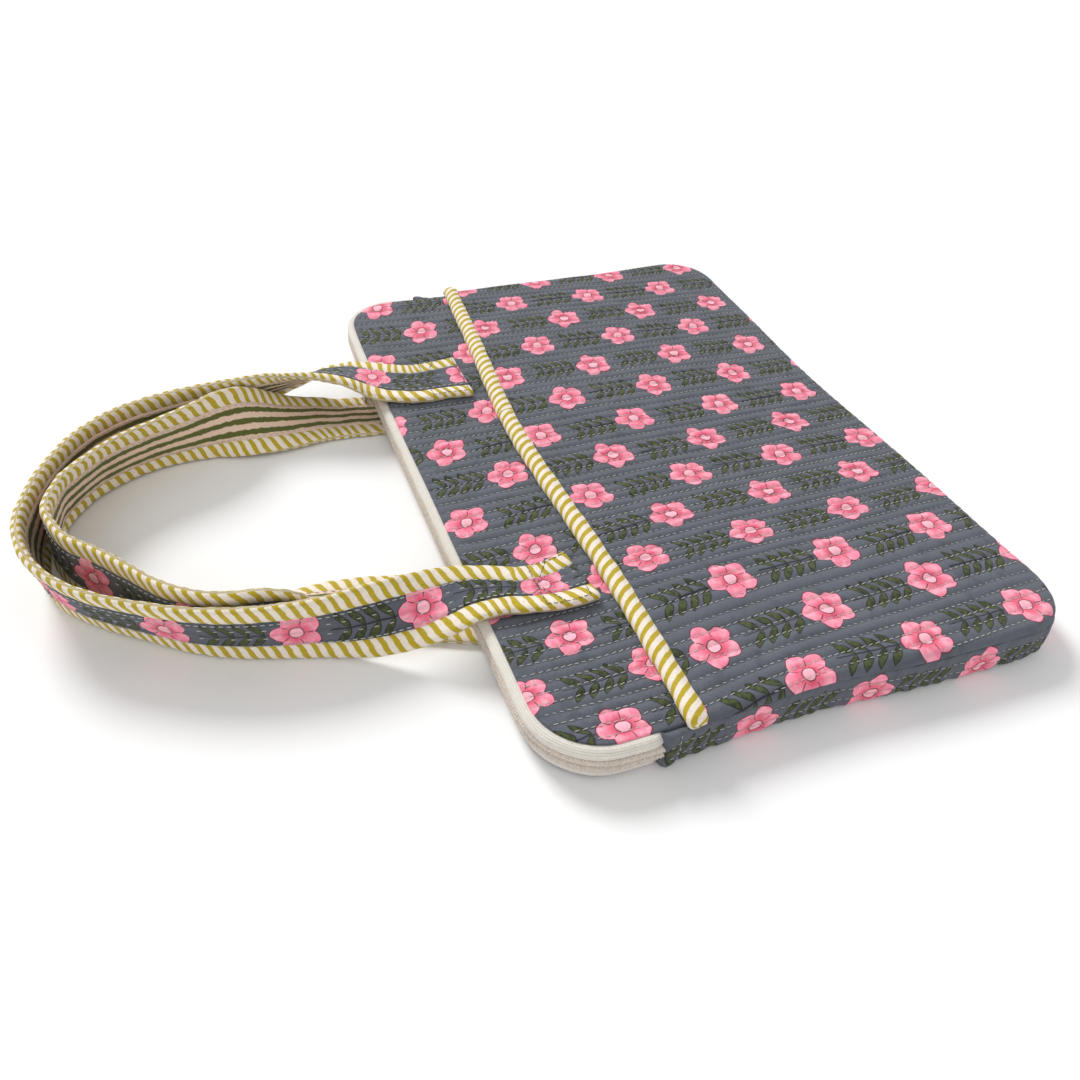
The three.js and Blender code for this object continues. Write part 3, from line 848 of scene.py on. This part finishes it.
def add_roll():
    """The striped roll that binds the pocket's mouth."""
    x = np.arange(-HALF_W + 0.6, HALF_W - 0.5, 1.1)
    y = roll_line(x)
    end = np.minimum(x + HALF_W, HALF_W - x)
    shrink = np.clip(end / 1.2, 0.5, 1) ** 0.3
    angle = np.linspace(0, 2 * math.pi, 26, endpoint=False) - math.pi / 2
    lump = 0.16 * np.sin(x / 2.7 + 0.8 * np.sin(x / 9)) + 0.14 * np.sin(x / 5.9 + 1)
    across = np.cos(angle)[None, :] * (ROLL_W * 0.49 + lump[:, None]) * shrink[:, None]
    height = np.sin(angle)[None, :] * (3.25 + 0.5 * lump[:, None]) * shrink[:, None]
    crease = 0.35 * np.exp(-((np.cos(angle) + 0.55) / 0.16) ** 2) * (np.sin(angle) > 0)
    level = BODY_T + 2.3 + 0.6 * waves(x, y) - 1.6 * (1 - np.clip(end / 7, 0, 1)) ** 2
    rings = np.stack([np.repeat(x[:, None], len(angle), 1), y[:, None] + across,
                      level[:, None] + height - crease[None, :]], -1)
    girth = angle * ROLL_W * 0.42
    joined = x + 3.4 * (x > 36)  # the strip is pieced here
    cloth = np.stack([np.repeat(-girth[None, :], len(x), 0), np.repeat(joined[:, None], len(angle), 1),
                      np.zeros((len(x), len(angle)))], -1)
    roll = tube("pocket_roll", rings, cloth, ROLL_CLOTH, slumped=True)
    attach(roll, "bag")
    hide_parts("pocket_binding")


# ---- handles ----
# Each route row is [x, y, height of the strap's lowest edge, tilt in degrees, share of the full width].
# Tilt 0 lies flat print up, 90 stands on edge print outwards, 180 lies flat print down.
ON_BAG = BODY_T + 0.9
REST = 0.3
FRONT_ROUTE = [
    (-99, STRAP_END_Y, ON_BAG, 0, 0.86), (-101, 94, ON_BAG, 0, 0.79), (-99.5, HINGE_Y, ON_BAG, 0, 0.73),
    (-97.5, 116, ON_BAG + 0.3, 0, 0.74), (-95.8, 125, ON_BAG + 0.3, 2, 0.8),
    (-95.3, 134, ON_BAG - 0.4, 7, 0.84), (-95, 147, 14, 24, 0.86), (-94, 160, 7.5, 43, 0.87),
    (-91.8, 175, 2.5, 62, 0.88), (-89.5, 188, REST, 78, 0.88), (-87.3, 200, REST, 88, 0.88),
    (-84.4, 215.5, REST, 94, 0.89), (-79.8, 232, REST, 98, 0.9), (-72.6, 249, REST, 102, 0.92),
    (-62, 266, REST, 107, 0.95), (-49.5, 283.5, REST, 109, 0.98), (-37, 296, REST, 106, 1),
    (-22.5, 305, REST, 101, 1), (-4, 309.5, REST, 96, 1), (13, 308.5, REST, 91, 1),
    (31, 304.5, REST, 86, 1), (47.5, 298, REST, 82, 1), (62, 289.5, REST, 80, 1),
    (73.5, 278.5, REST, 79, 1), (82, 265, REST, 79, 1), (87.5, 250, REST, 78, 1),
    (92, 235, REST, 75, 1), (96, 221, REST, 70, 1), (99.5, 208, 1, 64, 1), (102.5, 195, 3, 56, 1),
    (104, 182, 6, 46, 1), (103, 170, 11, 36, 1), (100, 158, 17, 24, 1), (95, 146, 20.5, 15, 1),
    (90, 134, ON_BAG, 6, 0.96), (83.5, 122, ON_BAG + 0.4, 0, 0.95), (79.5, HINGE_Y, ON_BAG, 0, 0.98),
    (79.5, 94, ON_BAG, 0, 1), (79.5, STRAP_END_Y, ON_BAG, 0, 1.08),
]
BACK_ROUTE = [
    (-92, STRAP_END_Y, 0, 180, 1), (-92, 98, 0, 180, 1), (-91, HINGE_Y, 0, 180, 1),
    (-88, 122, 0, 180, 1), (-83, 135, 0, 180, 1), (-76, 148, 0, 180, 1), (-71, 161, REST, 179, 1),
    (-67.5, 175, REST, 175, 1), (-65.5, 190, REST, 164, 1), (-66, 204, REST, 142, 1),
    (-69.5, 218, REST, 118, 1), (-71.9, 231, REST, 104, 1), (-67.9, 244, REST, 98, 1),
    (-59, 256.5, REST, 94, 1), (-45.5, 268, REST, 91, 1), (-31, 280.5, REST, 89, 1),
    (-18.5, 292, REST, 89, 1), (-6, 298, REST, 88, 1), (6, 301.3, REST, 85, 1),
    (18, 299.8, REST, 80, 1), (30.5, 296.5, REST, 75, 1), (42.5, 288.5, REST, 71, 1),
    (53, 278.5, REST, 70, 1), (61.5, 265, REST, 71, 1), (67, 251, REST, 73, 1),
    (70.5, 238, REST, 79, 1), (73.5, 226, REST, 90, 1), (75.8, 214, REST, 108, 1),
    (78.8, 202, REST, 130, 1), (82, 190, REST, 149, 1), (85, 178, REST, 163, 1),
    (87.5, 165, REST, 173, 1), (87.5, 150, 0, 180, 1), (86, 135, 0, 180, 1), (86, HINGE_Y, 0, 180, 1),
    (86, STRAP_END_Y, 0, 180, 1),
]
STRAP_T = 4.4


def smooth_line(rows, per):
    """Catmull-Rom through the rows, with the ends kept."""
    q = np.array(rows, float)
    q = np.vstack([2 * q[0] - q[1], q, 2 * q[-1] - q[-2]])
    t = (np.arange(per) / per)[:, None]
    parts = []
    for a, b, c, d in zip(q, q[1:], q[2:], q[3:]):
        parts.append(0.5 * (2 * b + (c - a) * t + (2 * a - 5 * b + 4 * c - d) * t ** 2
                            + (3 * b - a - 3 * c + d) * t ** 3))
    return np.vstack([*parts, q[-2][None]])


def pressed(line):
    """Share of a strap's thickness that is left where the bag lies on it."""
    under = (line[:, 2] < BODY_T / 2) & (line[:, 1] < HALF_H + 12)
    return np.where(under, 1 - 0.22 * np.clip((HALF_H + 12 - line[:, 1]) / 10, 0, 1), 1)


def strap_frame(route):
    """Stations along a strap: middle, across, face and distance."""
    line = smooth_line(route, 9)
    tilt = np.radians(line[:, 3])
    half_t = 0.5 * STRAP_T * pressed(line)
    rise = STRAP_W / 2 * line[:, 4] * np.abs(np.sin(tilt)) + half_t * np.abs(np.cos(tilt))
    at = np.stack([line[:, 0], line[:, 1], line[:, 2] + rise], -1)
    along = unit(np.gradient(at, axis=0))
    inward = unit(np.cross(along, [0, 0, 1.0]))
    rising = np.cross(inward, along)
    c, s = np.cos(tilt)[:, None], np.sin(tilt)[:, None]
    across = inward * c + rising * s
    face = rising * c - inward * s
    distance = np.concatenate([[0], np.cumsum(np.linalg.norm(np.diff(at, axis=0), axis=1))])
    return at, along, across, face, distance, line[:, 4], pressed(line)


def sweep_strap(name, line, a, b, cloth_u, cloth_v, material):
    at, _, across, face, _, _, flat = line
    b = b * flat[:, None]
    rings = at[:, None] + across[:, None] * a[:, :, None] + face[:, None] * b[:, :, None]
    along = np.repeat(cloth_v[:, None], a.shape[1], 1)
    cloth = np.stack([np.broadcast_to(cloth_u, a.shape), along, np.zeros_like(a)], -1)
    return tube(name, rings, cloth, material)


def strap_rides(piece):
    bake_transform(piece)


def add_handle(side, route, first_flower):
    line = strap_frame(route)
    at, along, across, face, distance, share, _ = line
    count = len(at)
    half = share[:, None] * STRAP_W / 2
    core_half = half - EDGE_W + 0.6
    flat = np.linspace(-1, 1, 5)[None, :]
    ripple = 0.16 * np.sin(distance / 2.3) + 0.2 * np.sin(distance / 5.1 + 1)
    # quilted middle
    a = np.linspace(-1, 1, 17)
    puff = 0.6 * np.abs(np.sin(np.pi * (a * 1.5 + 0.5))) ** 0.6
    gather = 0.5 * np.clip(0.86 - share[:, None], 0, 1) / 0.12 * np.sin(distance / 0.9)[:, None]
    top = 1.05 + puff[None, :] + (ripple[:, None] * 0.5 + gather * 0.4) * np.cos(a)[None, :]
    ring_a = core_half * np.concatenate([a, -flat[0]])[None, :]
    ring_b = np.concatenate([top, np.full((count, 5), -0.2)], 1)
    print_v = (distance - first_flower) * 1.035
    strap = sweep_strap(f"{side}_strap_cloth", line, ring_a, ring_b, ring_a, print_v, PRINT)
    # striped lining on the other face
    a = np.linspace(-1, 1, 13)
    wave = 0.2 * np.sin(a[None, :] * 11 + distance[:, None] / 4) + 0.8 * ripple[:, None]
    under = -1.25 - 0.3 * np.cos(a * 1.4)[None, :] + wave * 0.5
    ring_a = core_half * np.concatenate([a[::-1], flat[0]])[None, :]
    ring_b = np.concatenate([under[:, ::-1], np.full((count, 5), -0.25)], 1)
    lining = sweep_strap(f"{side}_strap_lining", line, ring_a, ring_b, ring_a, -distance, STRAP_LINING)
    # bindings folded over both edges
    angle = np.linspace(0, 2 * math.pi, 22, endpoint=False)
    edges = []
    for edge, sign in (("inner", 1), ("outer", -1)):
        lump = (0.2 * np.sin(distance / 2.1 + sign) + 0.16 * np.sin(distance / 4.7)
                + 0.1 * np.sin(distance / 1.1))
        c, s = np.cos(angle), np.sin(angle)
        squared_a = np.sign(c) * np.abs(c) ** 0.75
        squared_b = np.sign(s) * np.abs(s) ** 0.6
        fat = 1 + 0.22 * squared_a
        middle = sign * (half - EDGE_W / 2)
        ring_a = middle + sign * squared_a[None, :] * (EDGE_W / 2 + 0.35 * lump[:, None])
        ring_b = squared_b[None, :] * fat[None, :] * (2.0 + 0.45 * lump[:, None])
        girth = sign * (angle - math.pi) * 4.3
        name = f"{side}_strap_edge_{edge}"
        edges.append(sweep_strap(name, line, ring_a, ring_b, girth[None, :], -distance, BINDING))
    # thread: along the bindings' inner edges and down the quilted middle
    middles, ways, ups = [], [], []
    places = np.arange(2.5, distance[-1] - 2.5, 3.3)
    p, way, wide, up = (np.stack([np.interp(places, distance, v[:, k]) for k in range(3)], -1)
                        for v in (at, along, across, face))
    room = np.interp(places, distance, core_half[:, 0])[:, None]
    for offset in (1.1 - room, room - 1.1):
        for turn, height in ((1, 1.75), (-1, 1.75)):
            middles.append(p + wide * offset + up * (turn * height))
            ways.append(unit(way))
            ups.append(unit(up * turn))
    for offset in (-room / 3, room / 3):
        middles.append((p + wide * offset + up * 1.3)[::2])
        ways.append(unit(way)[::2])
        ups.append(unit(up)[::2])
    rows = stitches(f"{side}_strap_stitches", np.concatenate(middles), np.concatenate(ways),
                    np.concatenate(ups), PALE_THREAD, length=2.0, width=0.5, slumped=False)
    for piece in (strap, lining, *edges, rows):
        strap_rides(piece)
    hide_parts(f"{side}_handle_strap", f"{side}_handle_tab_near", f"{side}_handle_tab_far")
    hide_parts(f"{side}_handle_lining")
    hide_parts(f"{side}_handle_binding_inner")
    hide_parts(f"{side}_handle_binding_outer")
    return line


def add_tab_stitches(line):
    """Box and cross of dark thread that holds each end of a front strap to the bag."""
    at, _, _, _, distance, share, _ = line
    total = distance[-1]
    box_l = 22.5
    middles, ways = [], []
    for far in (False, True):
        def on_strap(along, side):
            place = total - along if far else along
            x, y, z = (np.interp(place, distance, at[:, k]) for k in range(3))
            reach = np.interp(place, distance, share) * STRAP_W / 2 - 1.6
            return np.array([x + side * reach, y, z + 2.35])

        paths = [((1.6, -1), (1.6, 1)), ((1.6, 1), (box_l, 1)), ((box_l, 1), (box_l, -1)),
                 ((box_l, -1), (1.6, -1)), ((box_l - 9, -1), (box_l, 0)), ((box_l - 9, 1), (box_l, 0))]
        for start, stop in paths:
            span = np.linalg.norm(on_strap(*stop) - on_strap(*start))
            steps = np.arange(0.9, span - 0.4, 2.9) / span
            places = [on_strap(start[0] + (stop[0] - start[0]) * t, start[1] + (stop[1] - start[1]) * t)
                      for t in steps]
            middles += places
            way = unit(on_strap(*stop) - on_strap(*start))
            ways += [way] * len(places)
    up = np.tile([0, 0, 1.0], (len(middles), 1))
    rows = stitches("tab_stitches", np.array(middles), np.array(ways), up, DARK_THREAD,
                    length=2.1, width=0.42, slumped=False)
    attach(rows, "bag")


# ---- zip slider ----
def finish_metal():
    for node in ("zip_slider", "zip_pull"):
        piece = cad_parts[node]
        piece.data.materials.clear()
        piece.data.materials.append(NICKEL)
        edge = piece.modifiers.new("bevel", "BEVEL")
        edge.width = 0.3 * MM
        edge.segments = 3
        edge.limit_method = "ANGLE"


def add_linings():
    """The cream linings, out of true with the cloth round them and just inside it."""
    for node in ("back_lining", "front_lining", "pocket_lining", "gusset_lining"):
        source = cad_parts[node]
        corners = np.array([source.matrix_world @ vertex.co for vertex in source.data.vertices]) / MM
        corners = corners * (0.98, 0.965, 1)
        faces = [face.vertices for face in source.data.polygons]
        piece = make_object(node + "_cotton", corners, faces, LINING, corners, smooth=False, slumped=True)
        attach(piece, "bag")
        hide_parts(node)


# ---- camera, floor and light ----
def add_camera():
    data = bpy.data.cameras.new("camera")
    camera = bpy.data.objects.new("camera", data)
    bpy.context.scene.collection.objects.link(camera)
    forward = Vector((0.69347, -0.31792, -0.64655)).normalized()
    up = Vector((0.61700, -0.20132, 0.76078)).normalized()
    right = forward.cross(up).normalized()
    turn = Matrix((right, right.cross(forward).normalized(), -forward)).transposed()
    camera.matrix_world = Matrix.Translation(Vector((-370.65, 219.97, 312.64)) * MM) @ turn.to_4x4()
    data.sensor_width = 36.0
    data.lens = 0.8526 * 36.0
    data.shift_x = -0.0138
    data.shift_y = -0.0175
    data.clip_start = 0.01
    bpy.context.scene.camera = camera


def add_floor():
    mesh = bpy.data.meshes.new("floor")
    mesh.from_pydata([(-6, -6, 0), (6, -6, 0), (6, 6, 0), (-6, 6, 0)], [], [(0, 1, 2, 3)])
    material = bpy.data.materials.new("floor")
    material.use_nodes = True
    shader = material.node_tree.nodes["Principled BSDF"]
    shader.inputs["Base Color"].default_value = (0.9, 0.9, 0.9, 1)
    shader.inputs["Roughness"].default_value = 0.9
    mesh.materials.append(material)
    floor = bpy.data.objects.new("floor", mesh)
    floor.location.z = -0.0004
    bpy.context.scene.collection.objects.link(floor)


def add_sun(name, source, strength, softness):
    data = bpy.data.lights.new(name, "SUN")
    data.energy = strength
    data.angle = math.radians(softness)
    lamp = bpy.data.objects.new(name, data)
    lamp.rotation_euler = (-Vector(source)).to_track_quat("-Z", "Y").to_euler()
    bpy.context.scene.collection.objects.link(lamp)


def add_lights():
    world = bpy.data.worlds.new("studio")
    world.use_nodes = True
    world.node_tree.nodes["Background"].inputs[0].default_value = (1, 1, 1, 1)
    world.node_tree.nodes["Background"].inputs[1].default_value = 0.6
    bpy.context.scene.world = world
    add_sun("key", (0.95, 0.25, 0.8), 2.4, 22)
    add_sun("fill", (-1.0, 0.3, 0.9), 0.5, 50)
    bpy.context.scene.view_settings.view_transform = "Standard"


add_camera()
add_floor()
add_lights()
add_front()
add_pocket()
add_back()
add_gusset()
add_zip()
add_roll()
front_line = add_handle("front", FRONT_ROUTE, 19.0)
add_handle("back", BACK_ROUTE, 10.0)
add_tab_stitches(front_line)
finish_metal()
add_linings()
